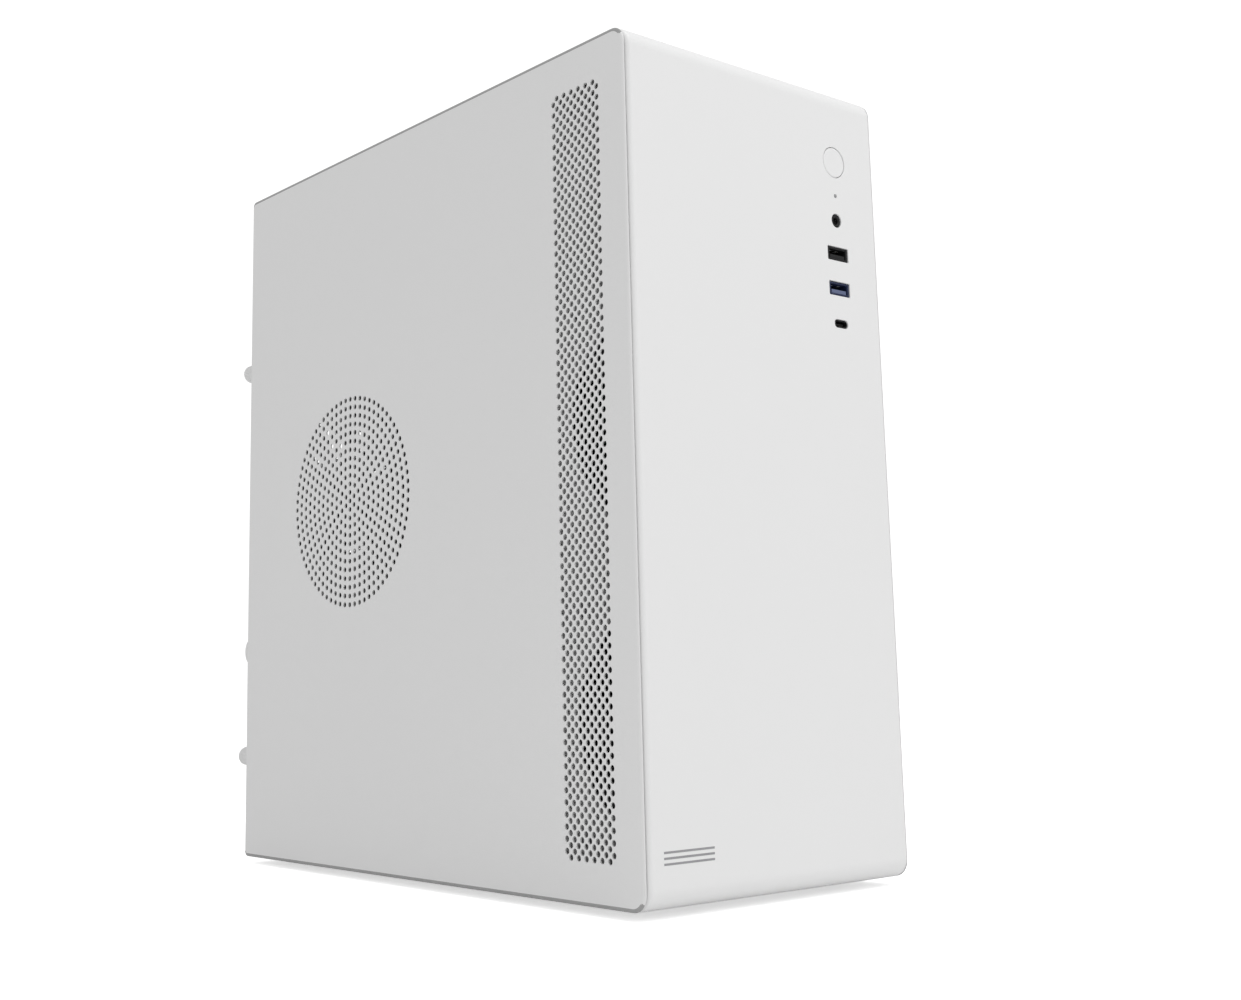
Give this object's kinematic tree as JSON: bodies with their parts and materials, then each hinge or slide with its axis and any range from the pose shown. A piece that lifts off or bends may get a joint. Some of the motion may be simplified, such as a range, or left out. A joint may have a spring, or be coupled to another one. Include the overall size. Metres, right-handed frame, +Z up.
{
  "type": "desktop computer tower",
  "caption": "White micro-ATX desktop computer tower with a pull-off front, sliding perforated side panels, fans, main board, power supply and drives.",
  "frame": {"origin": "middle of the footprint, on the surface that the feet rest on", "axes": "+Z up, front towards -Y, vented side panel towards -X, back towards +Y"},
  "size_m": [0.178, 0.371, 0.409],
  "materials": {
    "white_steel": "fine powder coat",
    "white_plastic": "fine satin moulding",
    "zinc_steel": "zinc plated sheet",
    "screw_steel": "plated",
    "rubber": "matt",
    "black_plastic": "moulded",
    "blue_plastic": "moulded",
    "clear_plastic": "light pipe",
    "board_laminate": "solder mask over laminate",
    "brass": "turned",
    "bare_aluminium": "extruded",
    "grey_plastic": "moulded",
    "cable_sleeve": "braided sleeve",
    "grey_paint": "fine paint",
    "cast_aluminium": "cast and machined"
  },
  "bodies": {
    "case": {"base_plate": "white_steel", "top_plate": "white_steel", "front_frame": "white_steel", "front_wall": "white_steel", "rear_panel": "white_steel", "board_tray": "white_steel", "psu_shelf": "white_steel", "drive_cage": "white_steel", "frame_rivets": "screw_steel", "feet": "rubber", "lock_loop": "white_steel", "front_port_board": "board_laminate", "power_switch": "black_plastic", "audio_jack": "black_plastic", "usb_port_black": "black_plastic", "usb_port_blue": "blue_plastic", "usb_c_port": "black_plastic", "front_cable": "cable_sleeve", "standoffs": "brass", "main_board": "board_laminate", "board_screws": "screw_steel", "io_shield": "zinc_steel", "rear_ports": "zinc_steel", "cpu_socket": "zinc_steel", "processor": "bare_aluminium", "heat_sink": "bare_aluminium", "cpu_fan_frame": "black_plastic", "memory_sockets": "black_plastic", "memory_modules": "board_laminate", "card_connectors": "black_plastic", "board_parts": "grey_plastic", "slot_covers": "white_steel", "psu_case": "grey_paint", "psu_circuit": "board_laminate", "psu_fan_frame": "black_plastic", "psu_fan_grille": "zinc_steel", "power_inlet": "black_plastic", "rear_fan_frame": "black_plastic", "front_fan_frame": "black_plastic", "machine_screws": "screw_steel", "hard_drive": "cast_aluminium", "solid_state_drive": "grey_paint", "power_cables": "cable_sleeve"},
    "front_bezel": {"front_bezel": "white_plastic", "status_light": "clear_plastic"},
    "power_button": {"power_button": "white_plastic"},
    "switch_plunger": {"switch_plunger": "grey_plastic"},
    "left_side_panel": {"left_side_panel": "white_steel"},
    "right_side_panel": {"right_side_panel": "white_steel"},
    "left_upper_thumbscrew": {"left_upper_thumbscrew": "white_steel"},
    "left_lower_thumbscrew": {"left_lower_thumbscrew": "white_steel"},
    "right_upper_thumbscrew": {"right_upper_thumbscrew": "white_steel"},
    "right_lower_thumbscrew": {"right_lower_thumbscrew": "white_steel"},
    "cpu_fan_rotor": {"cpu_fan_rotor": "grey_plastic"},
    "psu_fan_rotor": {"psu_fan_rotor": "grey_plastic"},
    "rear_fan_rotor": {"rear_fan_rotor": "grey_plastic"},
    "front_fan_rotor": {"front_fan_rotor": "grey_plastic"},
    "slot_clamp": {"slot_clamp": "white_steel"},
    "clamp_screw": {"clamp_screw": "screw_steel"},
    "switch_rocker": {"switch_rocker": "black_plastic"}
  },
  "joints": [
    {"name": "bezel_pull", "type": "slide", "parent": "case", "child": "front_bezel", "axis": [0, -1, 0], "range_m": [0, 0.08]},
    {"name": "power_press", "type": "slide", "parent": "front_bezel", "child": "power_button", "axis": [0, 1, 0], "range_m": [0, 0.0015], "stiffness_N_per_m": 900},
    {"name": "switch_press", "type": "slide", "parent": "case", "child": "switch_plunger", "axis": [0, 1, 0], "range_m": [0, 0.0015]},
    {"name": "left_panel_slide", "type": "slide", "parent": "case", "child": "left_side_panel", "axis": [0, 1, 0], "range_m": [0, 0.018]},
    {"name": "right_panel_slide", "type": "slide", "parent": "case", "child": "right_side_panel", "axis": [0, 1, 0], "range_m": [0, 0.018]},
    {"name": "left_upper_screw_out", "type": "slide", "parent": "left_side_panel", "child": "left_upper_thumbscrew", "axis": [0, 1, 0], "range_m": [0, 0.006]},
    {"name": "left_lower_screw_out", "type": "slide", "parent": "left_side_panel", "child": "left_lower_thumbscrew", "axis": [0, 1, 0], "range_m": [0, 0.006]},
    {"name": "right_upper_screw_out", "type": "slide", "parent": "right_side_panel", "child": "right_upper_thumbscrew", "axis": [0, 1, 0], "range_m": [0, 0.006]},
    {"name": "right_lower_screw_out", "type": "slide", "parent": "right_side_panel", "child": "right_lower_thumbscrew", "axis": [0, 1, 0], "range_m": [0, 0.006]},
    {"name": "cpu_fan_spin", "type": "hinge", "parent": "case", "child": "cpu_fan_rotor", "pos_m": [0.0179, 0.0545, 0.208], "axis": [-1, 0, 0], "continuous": true},
    {"name": "psu_fan_spin", "type": "hinge", "parent": "case", "child": "psu_fan_rotor", "pos_m": [-0.0004, 0.0955, 0.321], "axis": [0, 0, 1], "continuous": true},
    {"name": "rear_fan_spin", "type": "hinge", "parent": "case", "child": "rear_fan_rotor", "pos_m": [-0.03015, 0.1695, 0.229], "axis": [0, -1, 0], "continuous": true},
    {"name": "front_fan_spin", "type": "hinge", "parent": "case", "child": "front_fan_rotor", "pos_m": [-0.0194, -0.1011, 0.084], "axis": [0, -1, 0], "continuous": true},
    {"name": "clamp_pull", "type": "slide", "parent": "case", "child": "slot_clamp", "axis": [0, 1, 0], "range_m": [0, 0.02]},
    {"name": "clamp_screw_out", "type": "slide", "parent": "slot_clamp", "child": "clamp_screw", "axis": [0, 1, 0], "range_m": [0, 0.008]},
    {"name": "supply_switch", "type": "hinge", "parent": "case", "child": "switch_rocker", "pos_m": [0.0506, 0.1655, 0.344], "axis": [0, 0, 1], "range_deg": [0, 16]}
  ],
  "couplings": [
    {"joint": "switch_press", "follows": "power_press", "ratio": 1}
  ]
}
